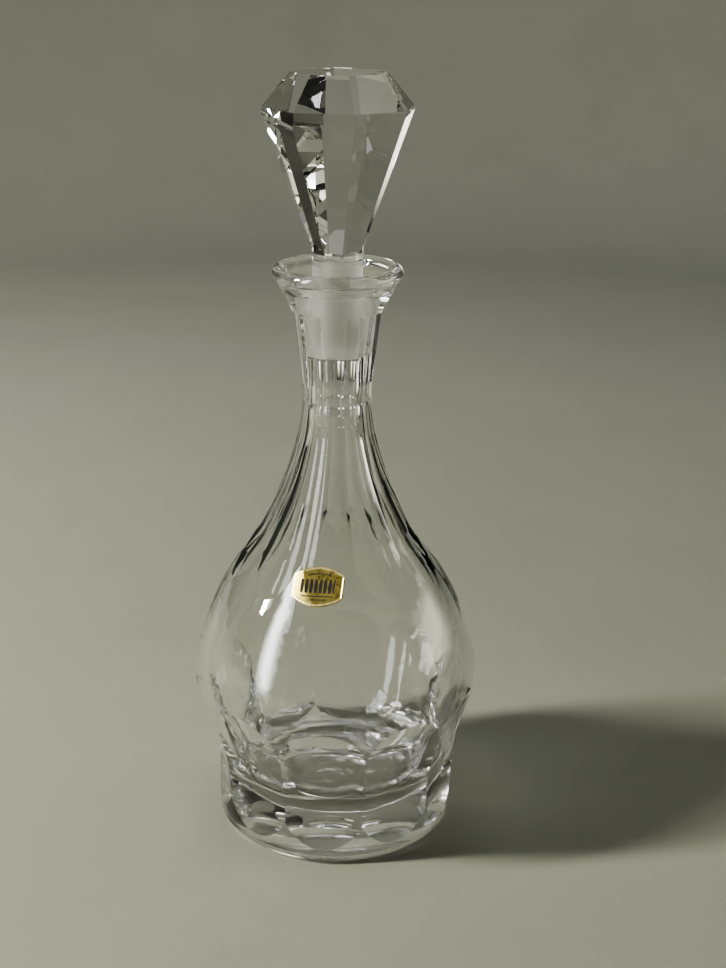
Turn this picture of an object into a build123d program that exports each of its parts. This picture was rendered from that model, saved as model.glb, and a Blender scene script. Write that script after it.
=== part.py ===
"""Cut crystal decanter with a faceted lift-out stopper and a foil label.

Frame: millimetres, +Z up, origin at the centre of the resting plane.
The label and one column of cuts face -Y.
"""

from build123d import *
from math import cos, radians, sin
import os

# ---------------------------------------------------------------- driving dimensions (mm)
columns = 10  # columns of cuts around the body
body_height = 236.0  # resting plane to the top of the lip
bulb_r = 58.6  # widest radius of the bulb
bulb_z = 67.0
foot_r = 49.2  # radius of the heavy foot
foot_edge = 2.6  # polished bevel round the resting ring
neck_r = 14.0  # slimmest radius of the neck
neck_z = 187.0
collar_r = 17.0  # neck collar under the flared lip
flute_top = 219.0  # ledge where the neck flutes stop
lip_r = 25.4
lip_bead = 2.6  # half the thickness of the rounded rim
lip_turn = 1.0  # the flare reaches almost its full radius this far under the rim

flute_touch_z = 128.0  # below this height neighbouring flutes part
flute_end_z = 112.0  # tip of the rounded flute end
print_top_z = 64.0  # top of the large oval thumbprints
print_touch_z = 44.0  # neighbouring thumbprints meet here
print_low_z = 21.0  # deepest ridge between two thumbprints
print_end_z = 6.0
wheel_reach = 80.0  # the cutting profiles run out to this distance from the axis
wheel_half_width = 26.0
wheel_run_out = 7.0  # and this far past the end of a cut

floor_z = 16.5  # inside floor above the resting plane
floor_r = 24.0  # flat middle of the inside floor
bulb_wall = 4.9  # glass left at the widest zone
punty_r = 10.5  # ground mark left in the middle of the base
punty_depth = 0.9
rest_hollow_r = 38.0  # shallow hollow inside the resting ring
rest_hollow = 0.8

socket_top_z = 229.0
socket_top_r = 10.5
socket_end_z = 201.5
socket_end_r = 8.7
bore_r = 9.0  # neck channel below the socket
bore_z = 196.0
socket_relief = 1.0  # height of the step between the socket and the bore
joint_gap = 0.05  # running gap of the ground joint, on the radius

head_bottom_z = 240.5
head_blank_r = 31.0
first_side = 39.5  # angle of the first side of the head from +X, degrees
girdle_high_z = 295.2
table_z = 307.5
table_reach = 16.9  # axis to a side of the table
shank_r = 9.8
shank_top_z = 250.0  # the shank ends inside the head
shank_shoulder = 1.5  # height of the taper from the plug to the shank
plug_lift = 1.0  # the plug ends this far above the end of the socket
plug_end_edge = 0.6

label_x = -3.3  # the foil label sits a little left of the front flute's middle
label_z = 117.9
label_width = 20.0
label_height = 12.7  # measured along Z
label_side = 7.2  # straight side of the barrel outline
label_lean = 0.10  # sideways lean for each millimetre of height
foil = 0.20
foil_gap = 0.02

column_angle = 360 / columns
half_column = radians(column_angle / 2)
flat = cos(half_column)  # a facet's middle lies at this share of its ridge radius
ridge_loss = 0.45  # how far the ridges between cuts stay inside the blank

os.makedirs("parts", exist_ok=True)


def facet(ridge_radius):
    """Middle radius of a flat facet whose ridges lie just inside the blank."""
    return (ridge_radius - ridge_loss) * flat


def facing_front(points):
    """Points of a (radius, height) outline on the side that faces -Y, in the YZ plane."""
    return [(-radius, height) for radius, height in points]


# Outer outline of the blank, from the foot to the collar, as (radius, height).
outer_points = [
    (foot_r, foot_edge),
    (50.6, 22.0),
    (54.6, 46.0),
    (bulb_r, bulb_z),
    (54.6, 86.0),
    (46.3, 105.0),
    (33.4, 125.0),
    (21.6, 150.0),
    (15.9, 169.0),
    (neck_r, neck_z),
    (15.4, 201.0),
    (collar_r, 215.0),
]

# Middle line of one neck flute: flat across, so its ridges follow the blank's outline.
flute_points = [
    (47.4, flute_end_z - wheel_run_out),
    (41.75, flute_end_z),
    (39.75, 114.5),
    (37.7, 117.0),
    (33.3, 123.0),
    (facet(31.6), flute_touch_z),
    (facet(29.4), 132.0),
    (facet(21.6), 150.0),
    (facet(15.9), 169.0),
    (facet(neck_r), neck_z),
    (facet(15.4), 201.0),
    (facet(collar_r), 215.0),
    (facet(collar_r + 0.5), flute_top),
]

# Middle line of one thumbprint, hollow from top to bottom.
print_points = [
    (61.8, print_top_z + wheel_run_out),
    (58.3, print_top_z),
    (facet(54.1), print_touch_z),
    (facet(50.4), print_low_z),
    (49.6, print_end_z),
    (51.2, 1.0),
]

# Inner outline of the chamber, from the floor to the bore, as (radius, height).
inner_points = [
    (floor_r, floor_z),
    (41.0, 26.0),
    (49.6, 46.0),
    (bulb_r - bulb_wall, bulb_z),
    (49.5, 86.0),
    (41.2, 105.0),
    (28.2, 125.0),
    (24.4, 132.0),
    (16.2, 150.0),
    (12.6, 162.0),
    (10.7, 172.0),
    (9.6, 182.0),
    (bore_r, bore_z),
]

# The sides of the stopper's head, cut by hand and so a little uneven. For each side, going
# round from first_side: distance of the girdle face from the axis, distance of the lower
# facet from the axis at the bottom of the head, height where that facet meets the girdle
# face, and the facet's turn about Z in degrees.
head_sides = [
    (26.8, 9.2, 291.3, 0.0),
    (26.8, 9.2, 291.6, 0.6),
    (24.4, 8.9, 293.0, 0.0),
    (26.8, 8.4, 293.2, -0.8),
    (26.8, 8.4, 292.2, -3.4),
    (26.8, 9.2, 291.4, -1.6),
    (26.8, 9.0, 291.2, 1.2),
    (26.8, 8.6, 293.4, 0.8),
]

# ---------------------------------------------------------------- decanter body
with BuildPart() as flute_tool:
    with BuildSketch(Plane.YZ):
        with BuildLine():
            groove = Spline(*facing_front(flute_points))
            Polyline(
                groove @ 1,
                (-wheel_reach, flute_top),
                (-wheel_reach, flute_end_z - wheel_run_out),
                groove @ 0,
            )
        make_face()
    extrude(amount=wheel_half_width, both=True)

with BuildPart() as print_tool:
    with BuildSketch(Plane.YZ):
        with BuildLine():
            hollow = Spline(*facing_front(print_points))
            Polyline(
                hollow @ 1,
                (-wheel_reach, 1.0),
                (-wheel_reach, print_top_z + wheel_run_out),
                hollow @ 0,
            )
        make_face()
    extrude(amount=wheel_half_width, both=True)

# One column of the blown glass, centred on -Y, with its flute and its thumbprint cut.
# It is turned up from the half plane that bounds it on one side.
side_angle = radians(-90 - column_angle / 2)
column_side = Plane(
    origin=(0, 0, 0),
    x_dir=(cos(side_angle), sin(side_angle), 0),
    z_dir=(sin(side_angle), -cos(side_angle), 0),
)
hollow_edge_z = rest_hollow * 0.9  # the shallow hollow's height where the punty mark starts
punty_top = hollow_edge_z + punty_depth

with BuildPart() as column:
    with BuildSketch(column_side):
        with BuildLine():
            side = Spline(*outer_points)
            flare = Spline(
                side @ 1,
                (collar_r + 1.5, flute_top + 1.5),
                (lip_r - 0.4, body_height - lip_bead - lip_turn),
                tangents=(side % 1, (0.5, 1)),
            )
            lip = ThreePointArc(
                flare @ 1,
                (lip_r - lip_bead, body_height),
                (lip_r - 2 * lip_bead, body_height - lip_bead),
            )
            mouth = Spline(
                lip @ 1,
                (16.0, 231.0),
                (socket_top_r, socket_top_z),
                tangents=((-0.3, -1), (-1, -0.6)),
            )
            Polyline(
                mouth @ 1,
                (socket_end_r, socket_end_z),
                (bore_r, socket_end_z - socket_relief),
                (bore_r, bore_z),
            )
            chamber = Spline(*inner_points, tangents=((1, 0.06), (0, 1)))
            Polyline(chamber @ 0, (0, floor_z), (0, punty_top))
            ThreePointArc(
                (0, punty_top),
                (punty_r / 2, punty_top - punty_depth / 4),
                (punty_r, hollow_edge_z),
            )
            ThreePointArc(
                (punty_r, hollow_edge_z),
                ((punty_r + rest_hollow_r) / 2, hollow_edge_z * 0.6),
                (rest_hollow_r, 0),
            )
            Polyline((rest_hollow_r, 0), (foot_r - foot_edge, 0), side @ 0)
        make_face()
    revolve(axis=Axis.Z, revolution_arc=column_angle)
    add(flute_tool.part, mode=Mode.SUBTRACT)
    add(print_tool.part, mode=Mode.SUBTRACT)

with BuildPart() as decanter_body:
    with PolarLocations(0, columns):
        add(column.part)

decanter_body.part.label = "decanter_body"
export_step(decanter_body.part, "parts/decanter_body.step")

# ---------------------------------------------------------------- stopper
def side_plane(angle, low, high, turn=0.0):
    """Flat facet through two (reach, height) points of the side that faces this angle."""
    facing = radians(angle + turn)
    rise = high[1] - low[1]
    spread = high[0] - low[0]
    return Plane(
        origin=(high[0] * cos(radians(angle)), high[0] * sin(radians(angle)), high[1]),
        z_dir=(rise * cos(facing), rise * sin(facing), -spread),
    )


plug_top_r = socket_top_r - joint_gap
plug_end_z = socket_end_z + plug_lift
joint_taper = (socket_top_r - socket_end_r) / (socket_top_z - socket_end_z)
plug_end_r = socket_end_r - joint_gap + joint_taper * (plug_lift + plug_end_edge)

with BuildPart() as stopper:
    # the head: a round blank cut flat on every side to a girdle face and two slanting facets
    with BuildSketch(Plane.XY.offset(head_bottom_z)):
        Circle(head_blank_r)
    extrude(amount=table_z - head_bottom_z)
    for number, (reach, bottom_reach, girdle_low_z, turn) in enumerate(head_sides):
        side_angle = first_side + number * 360 / len(head_sides)
        bottom = (bottom_reach, head_bottom_z)
        girdle_low = (reach, girdle_low_z)
        girdle_high = (reach, girdle_high_z)
        table_edge = (table_reach, table_z)
        split(bisect_by=side_plane(side_angle, girdle_low, girdle_high), keep=Keep.BOTTOM)
        split(bisect_by=side_plane(side_angle, bottom, girdle_low, turn), keep=Keep.BOTTOM)
        split(bisect_by=side_plane(side_angle, girdle_high, table_edge), keep=Keep.BOTTOM)
    # round shank and ground plug
    with BuildSketch(Plane.XZ):
        with BuildLine():
            Polyline(
                (0, shank_top_z),
                (0, plug_end_z),
                (plug_end_r - plug_end_edge, plug_end_z),
                (plug_end_r, plug_end_z + plug_end_edge),
                (plug_top_r, socket_top_z),
                (shank_r, socket_top_z + shank_shoulder),
                (shank_r, shank_top_z),
                close=True,
            )
        make_face()
    revolve(axis=Axis.Z)

stopper.part.label = "stopper"
export_step(stopper.part, "parts/stopper.step")

# ---------------------------------------------------------------- foil label
label_sector = 100.0  # angle of the blank's front that carries the label, degrees
sector_start = radians(-90 - label_sector / 2)
sector_side = Plane(
    origin=(0, 0, 0),
    x_dir=(cos(sector_start), sin(sector_start), 0),
    z_dir=(sin(sector_start), -cos(sector_start), 0),
)


def front_grown_by(depth):
    """The front of the blank with its flute, grown outwards by this depth."""
    with BuildPart() as front:
        with BuildSketch(sector_side):
            with BuildLine():
                skin = Spline(*[(radius + depth, height) for radius, height in outer_points])
                Polyline(skin @ 1, (0, (skin @ 1).Y), (0, (skin @ 0).Y), skin @ 0)
            make_face()
        revolve(axis=Axis.Z, revolution_arc=label_sector)
        with BuildSketch(Plane.YZ):
            with BuildLine():
                line = [(-radius - depth, height) for radius, height in flute_points]
                cut = Spline(*line)
                Polyline(
                    cut @ 1,
                    (-wheel_reach, flute_top),
                    (-wheel_reach, flute_end_z - wheel_run_out),
                    cut @ 0,
                )
            make_face()
        extrude(amount=wheel_half_width, both=True, mode=Mode.SUBTRACT)
    return front.part


# A barrel-shaped foil pressed onto the glass, over the front flute and its left ridge.
with BuildPart() as foil_label:
    with BuildSketch(Plane(origin=(label_x, 0, label_z), x_dir=(1, 0, 0), z_dir=(0, -1, 0))):
        with BuildLine():
            half_width = label_width / 2
            half_height = label_height / 2
            half_side = label_side / 2
            side_shift = label_lean * half_side
            end_shift = label_lean * half_height
            left_high = (-half_width + side_shift, half_side)
            left_low = (-half_width - side_shift, -half_side)
            right_high = (half_width + side_shift, half_side)
            right_low = (half_width - side_shift, -half_side)
            Line(left_low, left_high)
            ThreePointArc(left_high, (end_shift, half_height), right_high)
            Line(right_high, right_low)
            ThreePointArc(right_low, (-end_shift, -half_height), left_low)
        make_face()
    extrude(amount=wheel_reach)
    add(front_grown_by(foil_gap + foil), mode=Mode.INTERSECT)
    add(front_grown_by(foil_gap), mode=Mode.SUBTRACT)

foil_label.part.label = "foil_label"
export_step(foil_label.part, "parts/foil_label.step")
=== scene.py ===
"""Cut crystal decanter: looks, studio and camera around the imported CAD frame.

Everything is in metres, +Z up, with the decanter's front flute facing -Y.
"""
import math

import bpy
from mathutils import Matrix, Vector

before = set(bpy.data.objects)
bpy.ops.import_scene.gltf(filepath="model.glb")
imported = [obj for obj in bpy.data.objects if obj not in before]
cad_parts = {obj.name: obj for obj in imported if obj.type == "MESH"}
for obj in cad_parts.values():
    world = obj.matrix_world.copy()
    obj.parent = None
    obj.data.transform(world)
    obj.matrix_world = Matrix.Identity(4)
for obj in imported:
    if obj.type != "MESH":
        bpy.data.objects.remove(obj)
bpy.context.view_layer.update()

MM = 0.001

# ------------------------------------------------------------------ object facts (mm)
SOCKET_LOW, SOCKET_HIGH = 201.5, 229.0  # ground zone inside the neck
PLUG_LOW, PLUG_HIGH = 201.0, 236.5  # ground zone of the stopper's plug and shank
GROUND_R = 11.0  # everything ground lies inside this radius
LABEL_X, LABEL_Z = -3.3, 117.9  # middle of the label, seen from the front
LABEL_W, LABEL_H = 20.0, 12.7
LABEL_SIDE = 7.2  # height of the label's straight sides
LABEL_LEAN = 0.10  # sideways shift per unit of height
SPINDLES = 5.5  # spindles per half width of the label
CRYSTAL_IOR = 1.55

# ------------------------------------------------------------------ camera
EYE_DISTANCE, EYE_HEIGHT = 0.5663, 0.3561  # metres from the axis, metres above the table
EYE_TURN = 5.5  # degrees to the right of the front flute
PITCH, YAW, ROLL = 20.28, 1.08, 0.67  # degrees down, to the right, and leaning
LENS, SENSOR = 55.75, 36.0  # mm


def make_camera():
    """The camera stands in front of the decanter, looks down on it and leans a little."""
    turn = math.radians(EYE_TURN)
    out = Vector((math.sin(turn), -math.cos(turn), 0))
    side = Vector((math.cos(turn), math.sin(turn), 0))
    place = out * EYE_DISTANCE + Vector((0, 0, EYE_HEIGHT))
    yaw, pitch, roll = (math.radians(a) for a in (YAW, PITCH, ROLL))
    level = -out * math.cos(yaw) + side * math.sin(yaw)
    look = level * math.cos(pitch) + Vector((0, 0, -math.sin(pitch)))
    right = look.cross(Vector((0, 0, 1))).normalized()
    up = right.cross(look)
    right, up = (
        right * math.cos(roll) + up * math.sin(roll),
        up * math.cos(roll) - right * math.sin(roll),
    )
    data = bpy.data.cameras.new("camera")
    data.sensor_fit = "AUTO"
    data.sensor_width = SENSOR
    data.lens = LENS
    data.clip_start, data.clip_end = 0.01, 20.0
    camera = bpy.data.objects.new("camera", data)
    turned = Matrix((right, up, -look)).transposed().to_4x4()
    camera.matrix_world = Matrix.Translation(place) @ turned
    bpy.context.scene.collection.objects.link(camera)
    bpy.context.scene.camera = camera


# ------------------------------------------------------------------ node helpers
class Nodes:
    """A short way to write a node tree."""

    def __init__(self, tree):
        self.tree = tree
        tree.nodes.clear()

    def add(self, kind, inputs=(), **settings):
        node = self.tree.nodes.new(kind)
        for key, value in settings.items():
            setattr(node, key, value)
        for key, value in dict(inputs).items():
            self.put(node.inputs[key], value)
        return node

    def put(self, socket, value):
        if isinstance(value, bpy.types.NodeSocket):
            self.tree.links.new(value, socket)
        else:
            socket.default_value = value

    def math(self, operation, a, b=0.0):
        return self.add("ShaderNodeMath", {0: a, 1: b}, operation=operation).outputs[0]

    def product(self, first, *others):
        for other in others:
            first = self.math("MULTIPLY", first, other)
        return first

    def largest(self, first, *others):
        for other in others:
            first = self.math("MAXIMUM", first, other)
        return first

    def ramp(self, value, low, high, to_low=0.0, to_high=1.0):
        """A smooth step from to_low at low to to_high at high."""
        node = self.add(
            "ShaderNodeMapRange",
            {0: value, 1: low, 2: high, 3: to_low, 4: to_high},
            interpolation_type="SMOOTHSTEP",
        )
        return node.outputs[0]

    def noise(self, vector, scale, detail=3.0, roughness=0.5):
        node = self.add(
            "ShaderNodeTexNoise",
            {"Vector": vector, "Scale": scale, "Detail": detail, "Roughness": roughness},
        )
        return node.outputs["Fac"]

    def mix(self, share, a, b):
        node = self.add("ShaderNodeMix", data_type="RGBA")
        self.put(node.inputs[0], share)
        self.put(node.inputs[6], a)
        self.put(node.inputs[7], b)
        return node.outputs[2]

    def spot(self, vector):
        """The x, y and z of a place."""
        return self.add("ShaderNodeSeparateXYZ", {0: vector}).outputs

    def bump(self, height, distance, strength, normal=None):
        node = self.add(
            "ShaderNodeBump", {"Height": height, "Distance": distance, "Strength": strength}
        )
        if normal is not None:
            self.put(node.inputs["Normal"], normal)
        return node.outputs["Normal"]

    def surface(self, inputs):
        """One principled shader, joined to the output."""
        shader = self.add("ShaderNodeBsdfPrincipled", inputs)
        self.add("ShaderNodeOutputMaterial", {"Surface": shader.outputs[0]})


def new_material(name):
    """A new material, its node helper and the object coordinates."""
    material = bpy.data.materials.new(name)
    material.use_nodes = True
    nodes = Nodes(material.node_tree)
    return material, nodes, nodes.add("ShaderNodeTexCoord").outputs["Object"]


def grey(value):
    return (value, value, value, 1.0)


# ------------------------------------------------------------------ crystal
def crystal(name, seed_offset, ground_low, ground_high):
    """Polished lead crystal, faintly wavy by hand polishing, matt where the joint is ground."""
    material, n, where = new_material(name)
    shifted = n.add("ShaderNodeVectorMath", {0: where, 1: (seed_offset, 0.3, 0.7)}).outputs[0]
    x, y, z = n.spot(where)
    radius = n.math("SQRT", n.math("ADD", n.product(x, x), n.product(y, y)))

    # where the joint is ground
    edge = n.math("SUBTRACT", n.noise(shifted, 900.0), 0.5)
    height = n.math("ADD", z, n.product(edge, 0.8 * MM))
    low = n.ramp(height, (ground_low - 0.2) * MM, (ground_low + 0.5) * MM)
    high = n.ramp(height, (ground_high - 0.5) * MM, (ground_high + 0.2) * MM, 1.0, 0.0)
    near = n.math("LESS_THAN", radius, GROUND_R * MM)
    ground = n.product(low, high, near)

    # polish: a trace of haze in soft patches, and light wear on the foot
    haze = n.ramp(n.noise(shifted, 42.0, 4.0, 0.6), 0.52, 0.80, 0.0, 0.035)
    foot = n.ramp(z, 0.2 * MM, 1.2 * MM, 0.22, 0.0)
    scuffs = n.product(foot, n.ramp(n.noise(shifted, 1400.0, 2.0), 0.40, 0.62))
    polished = n.largest(haze, scuffs)
    grain = n.noise(shifted, 2600.0, 2.0)
    matt = n.ramp(grain, 0.2, 0.8, 0.50, 0.66)
    roughness = n.add("ShaderNodeMix", {0: ground, 2: polished, 3: matt}).outputs[0]

    # the ground zone scatters a little pale light, the rest is clear
    tint = n.noise(shifted, 18.0, 2.0)
    clear = n.mix(tint, (0.985, 0.992, 0.986, 1), (0.998, 0.999, 0.996, 1))
    colour = n.mix(ground, clear, (0.80, 0.81, 0.78, 1))

    waves = n.bump(n.noise(shifted, 55.0, 1.0, 0.4), 0.10 * MM, 0.35)
    grit = n.bump(grain, 0.05 * MM, n.product(ground, 0.6), normal=waves)
    n.surface({
        "Base Color": colour,
        "Roughness": roughness,
        "IOR": CRYSTAL_IOR,
        "Transmission Weight": 1.0,
        "Normal": grit,
    })
    return material


# ------------------------------------------------------------------ foil label
def foil():
    """Old gold foil with a raised bright border and a plain black ornament, without lettering."""
    material, n, where = new_material("foil_label_gold")
    x, _, z = n.spot(where)
    # u runs over the half width and v over the half height, both from -1 to 1
    up = n.math("SUBTRACT", z, LABEL_Z * MM)
    lean = n.product(up, LABEL_LEAN)
    across = n.math("SUBTRACT", n.math("SUBTRACT", x, LABEL_X * MM), lean)
    u = n.math("DIVIDE", across, LABEL_W / 2 * MM)
    v = n.math("DIVIDE", up, LABEL_H / 2 * MM)
    # distance inside the barrel outline, as a share of the half height
    arc = n.product(u, u, 1.0 - LABEL_SIDE / LABEL_H)
    from_arc = n.math("SUBTRACT", n.math("SUBTRACT", 1.0, arc), n.math("ABSOLUTE", v))
    from_side = n.product(n.math("SUBTRACT", 1.0, n.math("ABSOLUTE", u)), LABEL_W / LABEL_H)
    inside = n.math("MINIMUM", from_arc, from_side)
    crinkle = n.noise(where, 700.0, 4.0, 0.6)

    def band(value, middle, half, soft=0.02):
        """One inside a band around the middle, fading out softly."""
        away = n.math("ABSOLUTE", n.math("SUBTRACT", value, middle))
        return n.ramp(away, half, half + soft, 1.0, 0.0)

    def saw(count):
        """Nought in the middle of each repeat along the label, a half between repeats."""
        repeat = n.math("FRACT", n.product(u, count))
        return n.math("ABSOLUTE", n.math("SUBTRACT", repeat, 0.5))

    def dots(count, share):
        """Short strokes repeated along the label."""
        return n.ramp(saw(count), share - 0.04, share + 0.04, 1.0, 0.0)

    # a row of tall spindles in the middle, with dotted lines and a rule around it
    spindle = n.math("SUBTRACT", 0.40, n.product(v, v, 1.3))
    tall = n.ramp(n.math("SUBTRACT", spindle, saw(SPINDLES)), -0.03, 0.04)
    row = n.product(tall, band(v, 0.04, 0.34), band(u, -0.02, 0.66))
    bowed = n.math("ADD", v, n.product(arc, 0.8))
    upper = n.product(band(bowed, 0.66, 0.055), dots(13.0, 0.30), band(u, 0.0, 0.46))
    rule = n.product(band(v, -0.47, 0.022), band(u, 0.0, 0.62))
    lower = n.product(band(v, -0.64, 0.05), dots(11.0, 0.32), band(u, 0.0, 0.36))
    printed = n.largest(row, upper, rule, lower)

    rim = n.product(n.ramp(inside, 0.02, 0.05), n.ramp(inside, 0.10, 0.14, 1.0, 0.0))
    field = n.mix(crinkle, (0.40, 0.325, 0.095, 1), (0.56, 0.46, 0.16, 1))
    bright = n.mix(crinkle, (0.86, 0.70, 0.34, 1), (0.98, 0.86, 0.52, 1))
    ink = n.mix(crinkle, (0.004, 0.004, 0.003, 1), (0.010, 0.009, 0.007, 1))
    gloss = n.ramp(crinkle, 0.2, 0.8, 0.24, 0.40)
    raised = n.bump(rim, 0.12 * MM, 0.9)
    n.surface({
        "Base Color": n.mix(printed, n.mix(rim, field, bright), ink),
        "Roughness": n.add("ShaderNodeMix", {0: printed, 2: gloss, 3: 0.8}).outputs[0],
        "Metallic": n.math("SUBTRACT", 0.95, n.product(printed, 0.9)),
        "Normal": n.bump(crinkle, 0.03 * MM, 0.6, normal=raised),
    })
    return material


# ------------------------------------------------------------------ studio
FLOOR_R, SWEEP_R, WALL_TOP = 1.15, 0.45, 2.2  # metres
SWEEP_STEPS, STAGE_SIDES = 14, 96


def make_stage():
    """A pale floor that sweeps up into a round wall, so every side has the same plain backdrop."""
    rings = [(0.3, 0.0), (0.7, 0.0), (FLOOR_R, 0.0)]
    for i in range(1, SWEEP_STEPS + 1):
        a = math.radians(90 * i / SWEEP_STEPS)
        rings.append((FLOOR_R + SWEEP_R * math.sin(a), SWEEP_R * (1 - math.cos(a))))
    rings.append((FLOOR_R + SWEEP_R, WALL_TOP))
    verts = [(0.0, 0.0, 0.0)]
    for r, z in rings:
        for k in range(STAGE_SIDES):
            a = 2 * math.pi * k / STAGE_SIDES
            verts.append((r * math.cos(a), r * math.sin(a), z))
    faces = [(0, 1 + k, 1 + (k + 1) % STAGE_SIDES) for k in range(STAGE_SIDES)]
    for ring in range(len(rings) - 1):
        low, high = 1 + ring * STAGE_SIDES, 1 + (ring + 1) * STAGE_SIDES
        for k in range(STAGE_SIDES):
            j = (k + 1) % STAGE_SIDES
            faces.append((low + k, high + k, high + j, low + j))
    mesh = bpy.data.meshes.new("stage")
    mesh.from_pydata(verts, [], faces)
    mesh.polygons.foreach_set("use_smooth", [True] * len(mesh.polygons))
    stage = bpy.data.objects.new("stage", mesh)
    bpy.context.scene.collection.objects.link(stage)

    material, n, where = new_material("stage_plaster")
    mottle = n.noise(where, 9.0, 5.0, 0.6)
    flat = n.add("ShaderNodeVectorMath", {0: where, 1: (1, 1, 0)}, operation="MULTIPLY")
    away = n.add("ShaderNodeVectorMath", {0: flat.outputs[0]}, operation="LENGTH").outputs["Value"]
    floor = n.mix(mottle, (0.188, 0.192, 0.160, 1), (0.215, 0.219, 0.184, 1))
    wall = n.mix(mottle, (0.210, 0.218, 0.192, 1), (0.235, 0.243, 0.216, 1))
    n.surface({
        "Base Color": n.mix(n.ramp(away, 0.22, 0.75), floor, wall),
        "Roughness": 0.9,
        "Specular IOR Level": 0.0,
        "Normal": n.bump(n.noise(where, 160.0, 6.0, 0.7), 1.0 * MM, 0.12),
    })
    mesh.materials.append(material)


def area_light(name, place, size, power, colour):
    """A soft lamp aimed at the middle of the decanter."""
    data = bpy.data.lights.new(name, "AREA")
    data.shape = "RECTANGLE"
    data.size, data.size_y = size
    data.energy = power
    data.color = colour
    lamp = bpy.data.objects.new(name, data)
    lamp.location = place
    aim = Vector((0.0, 0.0, 0.15)) - Vector(place)
    lamp.rotation_mode = "QUATERNION"
    lamp.rotation_quaternion = aim.to_track_quat("-Z", "Y")
    lamp.visible_camera = False
    bpy.context.scene.collection.objects.link(lamp)


def card(name, turn, distance, height, size, colour, glow):
    """An upright card, dark or glowing towards its middle, that only shows in the glass."""
    wide, tall = size[0] / 2, size[1] / 2
    corners = [(-wide, 0, -tall), (wide, 0, -tall), (wide, 0, tall), (-wide, 0, tall)]
    mesh = bpy.data.meshes.new(name)
    mesh.from_pydata(corners, [], [(0, 1, 2, 3)])
    plate = bpy.data.objects.new(name, mesh)
    a = math.radians(turn)
    plate.location = (distance * math.cos(a), distance * math.sin(a), height)
    plate.rotation_euler = (0, 0, a - math.pi / 2)
    plate.visible_camera = False
    plate.visible_shadow = False
    plate.visible_diffuse = False
    bpy.context.scene.collection.objects.link(plate)

    material, n, where = new_material(name)
    material.cycles.emission_sampling = "NONE"
    x, _, z = n.spot(where)
    beside = n.ramp(n.math("ABSOLUTE", x), 0.15 * wide, wide, 1.0, 0.0)
    above = n.ramp(n.math("ABSOLUTE", z), 0.55 * tall, tall, 1.0, 0.0)
    dim = tuple(0.85 * c for c in colour)
    even = n.mix(n.noise(where, 7.0, 4.0), (*dim, 1), (*colour, 1))
    n.surface({
        "Base Color": grey(0.01),
        "Roughness": 0.9,
        "Specular IOR Level": 0.0,
        "Emission Color": n.mix(n.product(beside, above), grey(0.0), even),
        "Emission Strength": glow,
    })
    mesh.materials.append(material)


def make_light():
    """A key from the left, a wide soft top lamp, a dim world, and the cards around the glass."""
    sun, sky, cream = (1.0, 0.97, 0.88), (0.97, 0.98, 1.0), (1.0, 0.94, 0.80)
    area_light("key_left", (-1.05, -0.30, 0.80), (0.10, 0.55), 36.0, sun)
    area_light("top", (0.1, 0.3, 2.1), (1.6, 1.2), 13.0, sky)
    # painted shade: the dark cards stand in for an unlit doorway and an unlit room and show only
    # in the glass
    card("dark_doorway", 54.0, 0.95, 0.42, (0.62, 0.80), (0.01, 0.01, 0.01), 0.3)
    # painted light: these glowing cards stand in for two sunlit steps and a window and show only
    # in the glass
    card("sunlit_cream_step", 82.0, 1.0, 0.20, (0.30, 0.40), cream, 2.4)
    card("sunlit_step", 12.0, 0.62, 0.15, (0.56, 0.28), cream, 2.6)
    card("window_strip", -143.0, 1.15, 0.75, (0.34, 1.7), sky, 20.0)
    card("dark_room", 150.0, 1.0, 0.45, (0.35, 0.9), (0.05, 0.055, 0.05), 0.5)
    world = bpy.data.worlds.new("studio_world")
    world.use_nodes = True
    n = Nodes(world.node_tree)
    back = n.add("ShaderNodeBackground", {0: (0.52, 0.54, 0.52, 1), 1: 0.35})
    n.add("ShaderNodeOutputWorld", {0: back.outputs[0]})
    bpy.context.scene.world = world


# ------------------------------------------------------------------ dress the frame
def dress(node, material):
    """Puts the material into every slot of a CAD node."""
    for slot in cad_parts[node].material_slots:
        slot.material = material


make_camera()
make_stage()
make_light()
dress("decanter_body", crystal("crystal_body", 0.11, SOCKET_LOW, SOCKET_HIGH))
dress("stopper", crystal("crystal_stopper", 0.57, PLUG_LOW, PLUG_HIGH))
dress("foil_label", foil())

# many bounces, because a path crosses the crystal's walls and facets again and again
scene = bpy.context.scene
scene.cycles.max_bounces = 28
scene.cycles.transmission_bounces = 28
scene.cycles.glossy_bounces = 12
scene.cycles.diffuse_bounces = 4
scene.cycles.sample_clamp_indirect = 6.0
scene.cycles.blur_glossy = 0.3
scene.view_settings.view_transform = "AgX"
scene.view_settings.look = "AgX - High Contrast"
